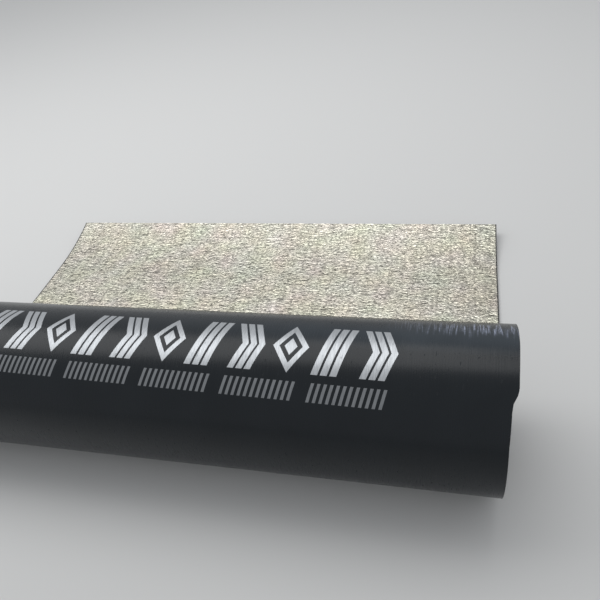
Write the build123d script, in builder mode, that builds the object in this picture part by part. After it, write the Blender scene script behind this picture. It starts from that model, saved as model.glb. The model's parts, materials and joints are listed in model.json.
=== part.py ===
"""A roll of roofing felt lying on its side, with its last stretch unrolled on the floor behind it.

The felt is one sheet of bitumen, faced with black film outside and crinkled foil inside.
It is wound without a core, so the roll has an open bore from end to end.
The outermost turn comes down the front of the roll, eases under it and runs out flat to the back.
X runs along the roll, from one end to the other. Z is up, and the sheet lies on Z = 0.
The origin is on the floor, in the middle of the footprint.
"""

import os
from math import acos, cos, degrees, radians, sin

from build123d import *

# The sheet, in millimetres
sheet_width = 1000.0
sheet_thickness = 4.0

# The winding
bore_diameter = 82.0
turns = 19

# The unrolled stretch, measured along the sheet from under the roll's axis to the cut edge
loose_end_length = 570.0
curl_length = 160.0  # the last of it, which keeps a little of the roll's curl
curl_radius = 600.0

# Where the sheet leaves the roll
lift_off_angle = 22.0  # degrees up the front from the lowest point
bedding = 0.3  # how far the roll's own weight beds it into the sheet beneath

# The V-shaped lines between the turns, on both ends
turn_line_width = 0.8
turn_line_depth = 1.2

# Worked out from the sizes above
bore_radius = bore_diameter / 2
roll_radius = bore_radius + turns * sheet_thickness
axis_height = roll_radius + sheet_thickness - bedding
flat_length = loose_end_length - curl_length
curl_angle = degrees(curl_length / curl_radius)
reach = flat_length + curl_radius * sin(radians(curl_angle))
roll_y = (roll_radius - reach) / 2
roll_axis = Axis((0, roll_y, axis_height), (1, 0, 0))


def on_roll(radius, angle_from_bottom):
    """A point of the section at a radius from the roll's axis; positive angles go up the front."""
    turned = radians(angle_from_bottom)
    return (roll_y - radius * sin(turned), axis_height - radius * cos(turned))


# The crevice behind the roll, where its round back meets the top of the loose end
crevice_angle = degrees(acos((axis_height - sheet_thickness) / roll_radius))
crevice = on_roll(roll_radius, -crevice_angle)
lift_off = on_roll(roll_radius, lift_off_angle)
touch_down = (roll_y, 0)
flat_end = (roll_y + flat_length, 0)
flat_end_top = (roll_y + flat_length, sheet_thickness)
along_floor = (1, 0)

# The bore is round, apart from a gap at the bottom: there the second turn climbs straight over the
# square-cut inner end of the sheet
climb_angle = degrees(acos(bore_radius / (bore_radius + sheet_thickness)))
climb_start = on_roll(bore_radius, climb_angle)
inner_end_top = on_roll(bore_radius, 0)
inner_end_foot = on_roll(bore_radius + sheet_thickness, 0)

with BuildPart() as felt_roll:
    # The wound turns and the loose end are one sheet, so they are one section
    with BuildSketch(Plane.YZ):
        with BuildLine():
            ThreePointArc(lift_off, (roll_y, axis_height + roll_radius), crevice)
            Line(crevice, flat_end_top)
            top_curl = JernArc(flat_end_top, along_floor, curl_radius - sheet_thickness, curl_angle)
            under_curl = JernArc(flat_end, along_floor, curl_radius, curl_angle)
            Line(top_curl @ 1, under_curl @ 1)
            Line(flat_end, touch_down)
            Spline(
                touch_down,
                lift_off,
                tangents=[(-1, 0), (-cos(radians(lift_off_angle)), sin(radians(lift_off_angle)))],
            )
        make_face()
        with BuildLine():
            ThreePointArc(climb_start, (roll_y, axis_height + bore_radius), inner_end_top)
            Line(inner_end_top, inner_end_foot)
            Line(inner_end_foot, climb_start)
        make_face(mode=Mode.SUBTRACT)
    extrude(amount=sheet_width / 2, both=True)

    # One line between each two turns, on both ends
    with BuildSketch(Plane(origin=roll_axis.position, x_dir=(1, 0, 0), z_dir=(0, -1, 0))):
        with Locations((0, (bore_radius + roll_radius) / 2)):
            with GridLocations(sheet_width, sheet_thickness, 2, turns - 1):
                Polygon(
                    (turn_line_depth, 0),
                    (0, turn_line_width / 2),
                    (-turn_line_depth, 0),
                    (0, -turn_line_width / 2),
                )
    revolve(axis=roll_axis, mode=Mode.SUBTRACT)

felt_roll.part.label = "roofing_felt_roll"

os.makedirs("parts", exist_ok=True)
export_step(felt_roll.part, f"parts/{felt_roll.part.label}.step")
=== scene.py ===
import json
from math import radians

import bpy
import numpy as np
from mathutils import Matrix, Vector


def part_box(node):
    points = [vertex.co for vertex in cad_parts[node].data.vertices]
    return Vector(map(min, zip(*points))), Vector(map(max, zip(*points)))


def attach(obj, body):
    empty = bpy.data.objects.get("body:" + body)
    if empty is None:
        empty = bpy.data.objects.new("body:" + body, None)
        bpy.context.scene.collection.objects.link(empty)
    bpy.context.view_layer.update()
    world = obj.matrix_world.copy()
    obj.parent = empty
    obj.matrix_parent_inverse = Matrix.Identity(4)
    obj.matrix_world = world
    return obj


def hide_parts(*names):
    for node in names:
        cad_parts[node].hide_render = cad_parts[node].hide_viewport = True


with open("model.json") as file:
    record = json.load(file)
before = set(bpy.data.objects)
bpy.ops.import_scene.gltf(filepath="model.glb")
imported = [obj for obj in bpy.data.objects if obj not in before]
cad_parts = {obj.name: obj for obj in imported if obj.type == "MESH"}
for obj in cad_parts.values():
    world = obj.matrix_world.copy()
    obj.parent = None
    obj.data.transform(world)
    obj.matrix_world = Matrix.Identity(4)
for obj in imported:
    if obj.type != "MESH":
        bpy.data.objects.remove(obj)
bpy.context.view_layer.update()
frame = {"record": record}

# The wound turns: eighteen turns of one sheet, each lying tight on the one inside it.
# The sheet is 4 mm of black bitumen round a polyester mat, with thin black film on its outer face
# and crinkled foil on its inner face. It has no core, so the first turn's foil lines the bore.

sheet_thickness = 0.004
turns = 19
ramp = radians(22)
edge_round = 0.0004
selvedge = 0.0025
sharp_angle = radians(35)
stations_per_turn = 120
wound_strips = 8

# How far the sheet wanders sideways, and each wave of it: metres for each radian, start and share
wander = 0.0015
wander_waves = [(0.31, 3.0, 1.0), (0.83, 2.9, 0.6), (0.117, 3.7, 0.4)]

# The step in the roll's right-hand end: degrees round the roll from its lowest point, up the back,
# and how many millimetres the sheet's edge is set back there
edge_steps = [
    (0, 8), (30, 0), (158, 0), (174, 0.6), (187, 1.8), (200, 2.8), (206, 3), (209, 4.3),
    (212, 6.5), (213, 8.5), (215, 9.9), (220, 11.2), (230, 11.8), (241, 12.6), (330, 12), (360, 8),
]
set_back_fade = 0.1

bore = next(mount for mount in frame["record"]["mounts"] if mount["name"] == "bore")
axis_y, axis_z = bore["pos_m"][1:]
bore_radius = bore["dims"]["r_mm"] / 1000
roll_low, roll_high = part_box("roofing_felt_roll")
half_width = (roll_high[0] - roll_low[0]) / 2
roll_radius = bore_radius + turns * sheet_thickness
full_turn = 2 * np.pi


def film_radius(angle, last_rise=sheet_thickness):
    """Distance of the film face from the roll's axis, for an angle counted from the inner end.

    It is one thickness more for each turn made. Each turn gains its thickness at its end, by a
    smooth step over the ramp's angle. last_rise is what the roll's last turn gains.
    """
    turn, part = np.divmod(angle, full_turn)
    step = np.clip((part - full_turn + ramp) / ramp, 0, 1)
    rise = np.where(turn == turns - 1, last_rise, sheet_thickness)
    return bore_radius + sheet_thickness * (turn + 1) + rise * step**2 * (3 - 2 * step)


def round_axis(angle, radius):
    """Points at a radius from the roll's axis, and the directions that lead out to them.

    The angle counts from the lowest point, up the back of the roll.
    """
    outward = np.stack([np.sin(angle), -np.cos(angle)], axis=-1)
    return np.array([axis_y, axis_z]) + outward * radius[:, None], outward


def lengths_along(path):
    """The length of a path up to each of its points: its straight steps, added one by one."""
    return np.concatenate([[0], np.cumsum(np.linalg.norm(np.diff(path, axis=0), axis=1))])


def sideways(along):
    """How far the sheet has wandered along the roll: slow sine waves of its length, added."""
    waves = sum(share * np.sin(along / length + start) for length, start, share in wander_waves)
    return wander * waves / 2


def set_back(angle):
    """How far the sheet's right-hand edge is set back, for an angle counted from the inner end.

    Straight lines join the values of edge_steps. The innermost turn is set back half as far as the
    outermost one, and those between them in proportion.
    """
    degrees, millimetres = np.array(edge_steps).T
    outermost = np.interp(angle % full_turn, np.radians(degrees), millimetres / 1000)
    return outermost * (0.5 + 0.5 * angle / full_turn / turns)


def sheet_profile(film_columns, foil_columns):
    """The sheet's closed section: places across it and depths below the film face.

    It runs along the film, round one cut edge, back along the foil and round the other edge.
    The third array tells which face each side of the profile belongs to: film 0, edge 1, foil 2.
    """
    half = half_width - wander
    inner_depth = sheet_thickness - edge_round
    across = np.concatenate([film_columns, [half, half], foil_columns[::-1], [-half, -half]])
    depth = np.concatenate(
        [
            np.zeros(len(film_columns)),
            [edge_round, inner_depth],
            np.full(len(foil_columns), sheet_thickness),
            [inner_depth, edge_round],
        ]
    )
    face = np.concatenate(
        [np.zeros(len(film_columns) - 1), np.ones(3), np.full(len(foil_columns) - 1, 2), np.ones(3)]
    )
    return across, depth, face.astype(int)


def columns(*spans):
    """Places across the sheet, from (start, end, spacing) spans that follow one another."""
    runs = [np.arange(start, end - spacing / 2, spacing) for start, end, spacing in spans]
    return np.concatenate(runs + [[spans[-1][1]]])


def sheet_piece(name, path, inward, along, profile, relief, materials, shortened):
    """A closed strip of sheet: the profile carried along a path.

    A point lies at the path's film point, plus its depth along the inward direction, and its place
    across the sheet moved by the sheet's wander. relief is added to the depth. shortened is how far
    each station's right-hand edge is set back, which fades out over the last stretch of its width.
    Quads join neighbouring stations, and one flat face closes each end. The distances along and
    across the sheet and below its film stay with the points, for the materials.
    """
    across, depth, face = profile
    reach = depth[None, :] + relief
    points = np.empty((len(along), len(across), 3))
    share = np.clip((across - half_width + set_back_fade) / set_back_fade, 0, 1)
    points[..., 0] = across + sideways(along)[:, None] - shortened[:, None] * share
    points[..., 1] = path[:, 0, None] + inward[:, 0, None] * reach
    points[..., 2] = path[:, 1, None] + inward[:, 1, None] * reach

    index = np.arange(points[..., 0].size).reshape(points.shape[:2])
    beside = np.roll(index, -1, axis=1)
    quads = np.stack([index[:-1], index[1:], beside[1:], beside[:-1]], axis=-1).reshape(-1, 4)
    end_faces = [index[0].tolist(), index[-1][::-1].tolist()]
    mesh = bpy.data.meshes.new(name)
    mesh.from_pydata(points.reshape(-1, 3), [], quads.tolist() + end_faces)
    for material in materials:
        mesh.materials.append(material)
    face_of_quad = np.tile(face, len(along) - 1)
    mesh.polygons.foreach_set("material_index", np.concatenate([face_of_quad, [1, 1]]))
    mesh.polygons.foreach_set("use_smooth", np.ones(len(mesh.polygons), bool))
    mesh.set_sharp_from_angle(angle=sharp_angle)
    places = {
        "along": np.broadcast_to(along[:, None], index.shape),
        "across": np.broadcast_to(across[None, :], index.shape),
        "depth": np.broadcast_to(depth[None, :], index.shape),
    }
    for label, values in places.items():
        mesh.attributes.new(label, "FLOAT", "POINT").data.foreach_set("value", values.ravel())
    piece = bpy.data.objects.new(name, mesh)
    bpy.context.scene.collection.objects.link(piece)
    return piece


class Signal:
    """One output of a shader node. Arithmetic on signals adds Math nodes to their material."""

    def __init__(self, finish, output):
        self.finish = finish
        self.output = output

    def math(self, operation, *values):
        """The result of a Math node whose sockets take these values in turn."""
        sockets = dict(enumerate(values))
        return self.finish.node("ShaderNodeMath", {"operation": operation}, sockets)

    def __add__(self, other):
        return self.math("ADD", self, other)

    def __sub__(self, other):
        return self.math("SUBTRACT", self, other)

    def __mul__(self, other):
        return self.math("MULTIPLY", self, other)

    def __truediv__(self, other):
        return self.math("DIVIDE", self, other)

    def __pow__(self, other):
        return self.math("POWER", self, other)

    def __gt__(self, other):
        return self.math("GREATER_THAN", self, other)

    def __lt__(self, other):
        return self.math("LESS_THAN", self, other)

    def __mod__(self, other):
        return self.math("FLOORED_MODULO", self, other)

    def __abs__(self):
        return self.math("ABSOLUTE", self)

    def __rsub__(self, other):
        return self.math("SUBTRACT", other, self)

    def __rtruediv__(self, other):
        return self.math("DIVIDE", other, self)

    __radd__ = __add__
    __rmul__ = __mul__

    def floor(self):
        """The whole number at or just below the signal."""
        return self.math("FLOOR", self)

    def clamped(self):
        """The signal held between 0 and 1."""
        return self.finish.node(
            "ShaderNodeClamp", {}, {"Value": self, "Min": 0.0, "Max": 1.0}, "Result"
        )


class Finish:
    """A material in the making. Its node method adds every kind of node."""

    def __init__(self, name):
        self.material = bpy.data.materials.new(name)
        self.material.use_nodes = True
        self.nodes = self.material.node_tree.nodes
        self.nodes.clear()

    def node(self, kind, settings, sockets, output=0):
        """Adds a node: its settings first, then the values or links of its sockets."""
        node = self.nodes.new(kind)
        for name, value in settings.items():
            setattr(node, name, value)
        for name, value in sockets.items():
            if isinstance(value, Signal):
                self.material.node_tree.links.new(value.output, node.inputs[name])
            else:
                node.inputs[name].default_value = value
        return Signal(self, node.outputs[output] if len(node.outputs) else None)

    def place(self, label):
        """A number kept with the mesh, such as the distance along or across the sheet in metres."""
        settings = {"attribute_type": "GEOMETRY", "attribute_name": label}
        return self.node("ShaderNodeAttribute", settings, {}, "Fac")

    def noise(self, x, y, size_x, size_y, detail=2.0, roughness=0.5, output="Fac"):
        """Noise from 0 to 1 whose grains are about size_x by size_y metres.

        The output Color gives three such noises at once, as a colour.
        """
        at = self.node("ShaderNodeCombineXYZ", {}, {"X": x / size_x, "Y": y / size_y})
        sockets = {"Vector": at, "Scale": 1.0, "Detail": detail, "Roughness": roughness}
        return self.node("ShaderNodeTexNoise", {"noise_dimensions": "2D"}, sockets, output)

    def mixed(self, factor, first, second):
        """One colour turned into another as the factor goes from 0 to 1.

        The Mix node's colours are its sockets 6 and 7, and its mixed colour is its output 2.
        """
        sockets = {"Factor": factor, 6: first, 7: second}
        return self.node("ShaderNodeMix", {"data_type": "RGBA"}, sockets, 2)

    def bump(self, height, distance):
        """A normal that leans as if the surface rose by distance metres where the height is 1."""
        return self.node("ShaderNodeBump", {}, {"Height": height, "Distance": distance})

    def surface(self, sockets):
        """Ends the material with one Principled shader, from the values or links of its sockets."""
        shader = self.node("ShaderNodeBsdfPrincipled", {}, sockets)
        self.node("ShaderNodeOutputMaterial", {}, {"Surface": shader})
        return self.material


bitumen_black = (0.016, 0.016, 0.017, 1)
mat_fibre = (0.13, 0.12, 0.105, 1)
foil_edge = (0.70, 0.67, 0.60, 1)
mat_middle, mat_half, foil_start = 0.52, 0.09, 0.93


def bitumen_edge():
    """Knife-cut bitumen: matte black, with the paler mat in its middle and a bright line of foil.

    Both are placed by the share of the sheet's thickness that lies above them.
    """
    finish = Finish("bitumen_edge")
    along, across, depth = (finish.place(label) for label in ("along", "across", "depth"))
    share = depth / sheet_thickness
    grain = finish.noise(along + across, depth, 0.0012, 0.0009, 4.0, 0.6)
    mat = ((1 - abs(share - mat_middle) / mat_half).clamped() * grain * 1.6).clamped()
    foil_line = share > foil_start
    colour = finish.mixed(mat, bitumen_black, mat_fibre)
    return finish.surface(
        {
            "Base Color": finish.mixed(foil_line, colour, foil_edge),
            "Roughness": 0.75 - 0.4 * foil_line,
            "Metallic": foil_line,
            "Normal": finish.bump(grain, 0.0003),
        }
    )


film_dark = (0.0034, 0.006, 0.0085, 1)
film_pale = (0.0066, 0.0098, 0.013, 1)
film_gloss, film_roughness, streak_roughness, streak_depth = 0.3, 0.2, 0.12, 0.00012


def film_grain(finish):
    """The film's fine streaks, which run along the sheet, and its soft dapple, both from 0 to 1."""
    along, across = finish.place("along"), finish.place("across")
    streaks = finish.noise(across, along, 0.0016, 0.06, 3.0, 0.6)
    dapple = finish.noise(across, along, 0.05, 0.07)
    return streaks, dapple


def black_film():
    """Thin black plastic film, melted on to the bitumen: smooth, with fine streaks along the sheet."""
    finish = Finish("black_film")
    streaks, dapple = film_grain(finish)
    return finish.surface(
        {
            "Base Color": finish.mixed(dapple, film_dark, film_pale),
            "Roughness": film_roughness + streak_roughness * streaks,
            "Specular IOR Level": film_gloss,
            "Normal": finish.bump(streaks, streak_depth),
        }
    )


foil_dull = (0.675, 0.64, 0.53, 1)
foil_bright = (0.735, 0.7, 0.585, 1)
crease_shade = (0.05, 0.046, 0.04, 1)
selvedge_black = (0.012, 0.012, 0.013, 1)
crease_depth = 0.0012
ripple_pitch = 0.0125


def crinkled_foil():
    """Crinkled aluminium foil: bright and warm, with short sharp creases across the sheet.

    A noise that is folded at its middle value has a crease wherever it crosses that value. Short and
    long creases are added, and a swaying zigzag ripple lies over them. The creases' bottoms are dark,
    and the colour drifts a little from place to place. At the sheet's edges the black shows, as a
    narrow selvedge.
    """
    finish = Finish("crinkled_foil")
    along, across = finish.place("along"), finish.place("across")
    bend = 0.003 * finish.noise(across, along, 0.011, 0.009)
    short_folds = abs(finish.noise(across + 3 * bend, along + bend, 0.01, 0.003, 1.0, 0.3) - 0.5) * 2
    long_folds = abs(finish.noise(across + 3.0, along + bend, 0.024, 0.0032, 1.0, 0.3) - 0.5) * 2
    creases = short_folds * 0.7 + long_folds * 0.5
    sway = 0.02 * finish.noise(across, along, 0.016, 0.03, 1.0)
    ripple = abs((along + sway) / ripple_pitch % 1.0 - 0.5) * 2
    fine = finish.noise(across, along, 0.009, 0.002, 1.0)
    patches = finish.noise(across, along, 0.13, 0.06)
    tints = finish.noise(across, along, 0.07, 0.07, output="Color")
    colour = finish.mixed(0.1, finish.mixed(patches, foil_dull, foil_bright), tints)
    colour = finish.mixed((1 - creases * 3.4).clamped() * 0.95, colour, crease_shade)
    bare = abs(across) > half_width - wander - selvedge
    return finish.surface(
        {
            "Base Color": finish.mixed(bare, colour, selvedge_black),
            "Metallic": 1 - bare,
            "Roughness": 0.15 + 0.18 * fine,
            "Normal": finish.bump(creases + 0.3 * fine + 0.3 * ripple, crease_depth),
        }
    )


film, edge, foil = black_film(), bitumen_edge(), crinkled_foil()

inner_angle = np.linspace(0, (turns - 1) * full_turn, (turns - 1) * stations_per_turn + 1)
inner_path, outward = round_axis(inner_angle, film_radius(inner_angle))
inner_along = lengths_along(inner_path)
near_edge = half_width - wander - edge_round
wound_turns = sheet_piece(
    "wound_turns",
    inner_path,
    -outward,
    inner_along,
    sheet_profile(
        np.array([-near_edge, near_edge]), columns((-near_edge, near_edge, 2 * near_edge / wound_strips))
    ),
    0,
    [film, edge, foil],
    set_back(inner_angle),
)
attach(wound_turns, "root")
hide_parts("roofing_felt_roll")

# The outer turn: the last turn of the sheet, which shows the film and the printed marks.
# The film puckers round the roll where the sheet was bent, most of all near its ends.
# It comes down the front of the roll and eases under it.

bedding = 0.0003
outer_stations = 145
outer_strips = 12

# The last station stays a hair short of the full turn, which would count as the turn after it
outer_angle = np.linspace((turns - 1) * full_turn, turns * full_turn, outer_stations)
outer_angle[-1] -= 1e-9
outer_path, outward = round_axis(outer_angle, film_radius(outer_angle, sheet_thickness - bedding))
outer_along = inner_along[-1] + lengths_along(outer_path)
top_along = float(outer_along[0] + roll_radius * np.pi)


def smooth_noise(x, y, size_x, size_y, seed):
    """Random heights from -1 to 1 on a lattice of size_x by size_y metres.

    Between the lattice's points they are blended by a smooth step, first one way and then the other.
    """
    across = (x - x.min()) / size_x
    down = (y - y.min()) / size_y
    column, row = np.floor(across).astype(int), np.floor(down).astype(int)
    heights = np.random.default_rng(seed).uniform(-1, 1, (column.max() + 2, row.max() + 2))
    right, below = across - column, down - row
    right, below = right**2 * (3 - 2 * right), below**2 * (3 - 2 * below)
    near = heights[column, row] * (1 - right) + heights[column + 1, row] * right
    far = heights[column, row + 1] * (1 - right) + heights[column + 1, row + 1] * right
    return near * (1 - below) + far * below


# The printed rows, in metres below the roll's top and along it
row_half_length = 0.357
large_centre, large_half = 0.0125, 0.039
small_centre, small_half = 0.075, 0.0125
slant, level_place = 0.019, 0.178

# The large marks: sizes as shares of their spacing, and the diamond's parts as shares of the diamond
large_marks = 12
diamond_half, frame_inside, core_outside = 0.42, 0.65, 0.36
bar_lean, bar_pitch = 0.17, 0.21
chevron_reach, chevron_pitch = 0.24, 0.2
stripe_half = 0.365

# The small strokes, in groups: of each fourteen places, twelve are inked
strokes = 84
group_places, group_strokes = 14, 12
stroke_half, stroke_lean = 0.245, 0.35

# The painted sheen, a highlight painted just behind the roll's top: where across the sheet it starts, and
# over how far it grows
painted_sheen_centre, painted_sheen_half = -0.02, 0.033
painted_sheen_start, painted_sheen_growth = -0.1, 0.45

ink_silver = (0.52, 0.54, 0.56, 1)
# Grey-blue of the painted sheen, a painted highlight on the black film
painted_sheen_grey = (0.03, 0.039, 0.048, 1)
# Pale blue of the puckers: partly the film's stretch whitening, partly a painted glint
stretch_glint_blue = (0.36, 0.4, 0.52, 1)


def three_stripes(place, pitch):
    """1 on three stripes that lie a pitch apart round place 0, and 0 elsewhere."""
    on_stripe = abs((place / pitch + 0.5) % 1.0 - 0.5) < stripe_half
    return on_stripe * (abs(place) < 1.5 * pitch)


def printed_film():
    """The black film with two rows of silver marks, printed along the roll a little in front of its top.

    The large row repeats a framed diamond, three slanted bars and three chevrons. The small row is
    slanted strokes in groups of twelve. Both rows run a little askew to the roll: they lie lower by
    the slant for each metre along it. The ink is thin, and brushed out along the sheet. A painted
    sheen, a faint painted highlight, lies just behind the roll's top towards its right-hand end, and
    fades to both sides as one minus a square. Where the film is puckered it is painted pale blue:
    partly the film's stretch whitening, partly a painted glint.
    """
    finish = Finish("printed_film")
    along, across = finish.place("along"), finish.place("across")
    streaks, dapple = film_grain(finish)
    nicks = finish.noise(across, along, 0.0035, 0.011, 1.0) > 0.76
    down = along - top_along
    printed = down - slant * (across - level_place)

    cell = (across / row_half_length + 1) * (large_marks / 2)
    kind, sidelong = cell.floor() % 3.0, cell % 1.0 - 0.5
    height = (printed - large_centre) / large_half
    tall = abs(height)
    spread = abs(sidelong) / diamond_half + tall
    diamond = (spread < 1) * (spread > frame_inside) + (spread < core_outside)
    bars = three_stripes(sidelong + bar_lean * height, bar_pitch)
    chevrons = three_stripes(sidelong + chevron_reach * (tall - 0.5), chevron_pitch)
    large = (kind < 0.5) * diamond + (kind > 0.5) * (kind < 1.5) * bars + (kind > 1.5) * chevrons
    large = large * (tall < 1) * (abs(across) < row_half_length)

    rise = (printed - small_centre) / small_half
    stroke = across * (strokes / 2 / row_half_length) + stroke_lean * rise + strokes / 2
    small = (abs(stroke % 1.0 - 0.5) < stroke_half) * (stroke % group_places < group_strokes)
    small = small * (stroke > 0) * (stroke < strokes) * (abs(rise) < 1)

    brushed = finish.noise(across, along, 0.0011, 0.02, 2.0, 0.6)
    ink = ((large * 0.95 + small * 0.45) * (0.55 + 0.6 * brushed)).clamped()
    broken = 2.4 * finish.noise(across, along, 0.0018, 0.005) - 0.2
    # Pucker ridges turn pale blue: partly stretch whitening, partly a painted glint of light
    stretch_and_glint = (finish.place("raised") ** 1.65 * broken).clamped()
    # A painted sheen: a soft band of painted highlight just behind the roll's top
    painted_sheen = (1 - ((down - painted_sheen_centre) / painted_sheen_half) ** 2).clamped() ** 1.4 * (0.6 + 0.7 * dapple)
    painted_sheen = (painted_sheen * ((across - painted_sheen_start) / painted_sheen_growth).clamped()).clamped()
    colour = finish.mixed(painted_sheen, finish.mixed(dapple, film_dark, film_pale), painted_sheen_grey)
    colour = finish.mixed(stretch_and_glint, colour, stretch_glint_blue)
    return finish.surface(
        {
            "Base Color": finish.mixed(ink, colour, ink_silver),
            "Metallic": ink * 0.85,
            "Roughness": film_roughness + streak_roughness * streaks + 0.1 * ink + 0.25 * nicks,
            "Specular IOR Level": film_gloss,
            "Normal": finish.bump(streaks + ink * 0.3, streak_depth),
        }
    )


# The puckers: their middles, which lie behind the roll's top, their half lengths and their widths,
# all in metres, and then how far each strays, in slope and in place across the sheet
pucker_middles, pucker_half_lengths = (-0.054, -0.036), (0.009, 0.02)
least_width, extra_width = 0.0006, 0.0018
pucker_lean, pucker_shift = 0.05, 0.0013


def pucker_heights(across, down, places, seed):
    """Heights from 0 to 1 of narrow puckers that run round the roll, close to the given places across it.

    Each is a bell curve across the sheet that leans a little, times one minus the fourth power of the
    distance from its middle, as a share of its half length. The highest counts at each point.
    """
    random = np.random.default_rng(seed)
    count = len(places)
    middle = random.uniform(*pucker_middles, count)
    half_length = random.uniform(*pucker_half_lengths, count)
    height = random.uniform(0.15, 1, count) ** 1.5
    lean = random.normal(0, pucker_lean, count)
    width = least_width + extra_width * (1 - height) * random.uniform(0.2, 1, count)
    places = places + random.normal(0, pucker_shift, count)
    down, across = down[None, :, None], across[None, None, :]
    middle, half_length, width, lean, height, places = (
        values[:, None, None] for values in (middle, half_length, width, lean, height, places)
    )
    run = (down - middle) / half_length
    bell = np.exp(-(((across - places - lean * (down - middle)) / width) ** 2))
    return (height * bell * np.clip(1 - run**4, 0, 1)).max(axis=0)


# The film's mesh is fine where it puckers, and coarse on the plain stretch between
plain_from, plain_to = -0.42, 0.29
film_columns = columns(
    (-near_edge, plain_from, 0.0015), (plain_from, plain_to, 0.01), (plain_to, near_edge, 0.0007)
)
outer_profile = sheet_profile(
    film_columns, columns((-near_edge, near_edge, 2 * near_edge / outer_strips))
)

# Puckers lie closer together towards the right-hand end, and are lower at the left-hand one
outermost_pucker = 0.497
right_places = outermost_pucker - 0.2 * np.linspace(0, 1, 150) ** 1.15
left_places = -outermost_pucker + 0.06 * np.linspace(0, 1, 25)
fading = np.interp(film_columns, [-0.48, -0.42, 0.31, 0.44], [0.6, 0, 0, 1])
raised = np.zeros((len(outer_along), len(outer_profile[0])))
raised[:, : len(film_columns)] = fading * pucker_heights(
    film_columns, outer_along - top_along, np.concatenate([right_places, left_places]), 5
)

# The film lies a little deep, unevenly, so that the puckers stay under the roll's full radius
film_depth, slack_depth, pucker_rise = 0.00055, 0.0002, 0.00035
film_across, film_along = np.meshgrid(film_columns, outer_along)
slack = smooth_noise(film_across, film_along, 0.09, 0.11, 7)
outer_relief = np.zeros_like(raised)
outer_relief[:, : len(film_columns)] = film_depth + slack_depth * slack
outer_relief -= pucker_rise * raised
outer_turn = sheet_piece(
    "outer_turn",
    outer_path,
    -outward,
    outer_along,
    outer_profile,
    outer_relief,
    [printed_film(), edge, foil],
    set_back(outer_angle),
)
raised_values = outer_turn.data.attributes.new("raised", "FLOAT", "POINT").data
raised_values.foreach_set("value", raised.ravel())
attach(outer_turn, "root")
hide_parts("roofing_felt_roll")

# The loose end: the sheet runs out from under the roll and lies flat on the floor, foil side up.
# Its cut end keeps a little of the roll's curl and stands clear of the floor.
# The foil is crinkled all over, in short creases that run across the sheet.

flat_length = 0.41
curl_length = 0.16
curl_radius = 0.6
loose_stations = 408
loose_strips = 12
foil_spacing = 0.005
long_crease_height, short_crease_height, crease_bend = 0.0001, 0.00008, 0.003

loose_along = np.linspace(0, flat_length + curl_length, loose_stations)
turned = np.clip(loose_along - flat_length, 0, None) / curl_radius
loose_path = np.stack(
    [
        axis_y + np.minimum(loose_along, flat_length) + curl_radius * np.sin(turned),
        curl_radius * (1 - np.cos(turned)),
    ],
    axis=-1,
)
loose_inward = np.stack([-np.sin(turned), np.cos(turned)], axis=-1)
foil_columns = columns((-near_edge, near_edge, foil_spacing))
loose_profile = sheet_profile(
    columns((-near_edge, near_edge, 2 * near_edge / loose_strips)), foil_columns
)

# Creases are ridges where a noise crosses its middle value
foil_across, foil_along = np.meshgrid(foil_columns[::-1], loose_along)
bent = foil_along + crease_bend * smooth_noise(foil_across, foil_along, 0.03, 0.02, 11)
long_creases = 1 - 2 * np.abs(smooth_noise(foil_across, bent, 0.03, 0.005, 12))
short_creases = 1 - 2 * np.abs(smooth_noise(foil_across, bent, 0.011, 0.0035, 13))
loose_relief = np.zeros((len(loose_along), len(loose_profile[0])))
first_foil = len(loose_profile[0]) - 2 - len(foil_columns)
loose_relief[:, first_foil:-2] = (
    long_crease_height * long_creases + short_crease_height * short_creases
)

# The edge's set-back runs on under the roll, and ends on the floor within one radius of it
loose_angle = turns * full_turn + np.minimum(loose_along / roll_radius, 1.0)
loose_end = sheet_piece(
    "loose_end",
    loose_path,
    loose_inward,
    outer_along[-1] + loose_along,
    loose_profile,
    loose_relief,
    [film, edge, foil],
    set_back(loose_angle),
)
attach(loose_end, "root")
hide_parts("roofing_felt_roll")

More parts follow.
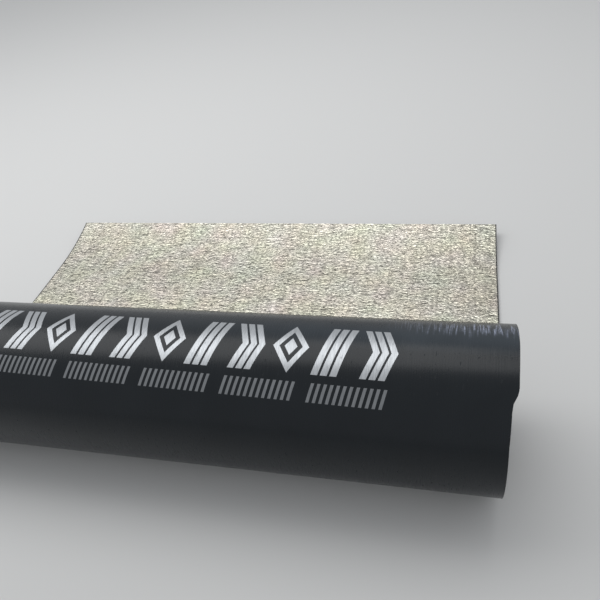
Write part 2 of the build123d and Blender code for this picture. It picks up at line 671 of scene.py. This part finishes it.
# The studio floor: one wide, pale, matte sheet that the felt lies on, a hair below its underside.
# It isn't part of the object.

floor_half, floor_height = 25, -0.0003


def studio_floor():
    """Pale matte paint, the same all over."""
    finish = Finish("studio_floor")
    return finish.surface({"Base Color": (0.65, 0.65, 0.64, 1), "Roughness": 0.9})


floor_mesh = bpy.data.meshes.new("floor")
floor_corners = [
    (floor_half * x, floor_half * y, floor_height) for x, y in ((-1, -1), (1, -1), (1, 1), (-1, 1))
]
floor_mesh.from_pydata(floor_corners, [], [(0, 1, 2, 3)])
floor_mesh.materials.append(studio_floor())
floor = bpy.data.objects.new("floor", floor_mesh)
bpy.context.scene.collection.objects.link(floor)

# The light: one wide soft lamp overhead, behind the roll and to its left, turned a little to it,
# and a pale room round it.

lamp = bpy.data.lights.new("overhead_lamp", "AREA")
lamp.shape = "RECTANGLE"
lamp.size = 3.6
lamp.size_y = 1.6
lamp.energy = 35.5
lamp_holder = bpy.data.objects.new("overhead_lamp", lamp)
lamp_holder.location = (-0.95, 0.54, 2.2)
lamp_holder.rotation_euler = (0, 0, radians(13))
bpy.context.scene.collection.objects.link(lamp_holder)

world = bpy.data.worlds.new("room")
bpy.context.scene.world = world
world.use_nodes = True
background = world.node_tree.nodes["Background"]
background.inputs["Color"].default_value = (0.9, 0.92, 0.95, 1)
background.inputs["Strength"].default_value = 0.62

# The camera stands high in front of the roll, to the right of its middle, looks to the left and
# leans a little.

camera_place = Vector((0.4204, -0.7636, 0.8061))
camera_target = Vector((0.1579, -0.0222, 0.1207))
camera_lean = radians(-10.97)
camera_data = bpy.data.cameras.new("camera")
camera_data.lens = 36
camera_data.sensor_width = 36
camera = bpy.data.objects.new("camera", camera_data)
aim = (camera_target - camera_place).to_track_quat("-Z", "Y").to_matrix().to_4x4()
camera.matrix_world = Matrix.Translation(camera_place) @ aim @ Matrix.Rotation(camera_lean, 4, "Z")
bpy.context.scene.collection.objects.link(camera)
bpy.context.scene.camera = camera
bpy.context.scene.view_settings.view_transform = "Standard"
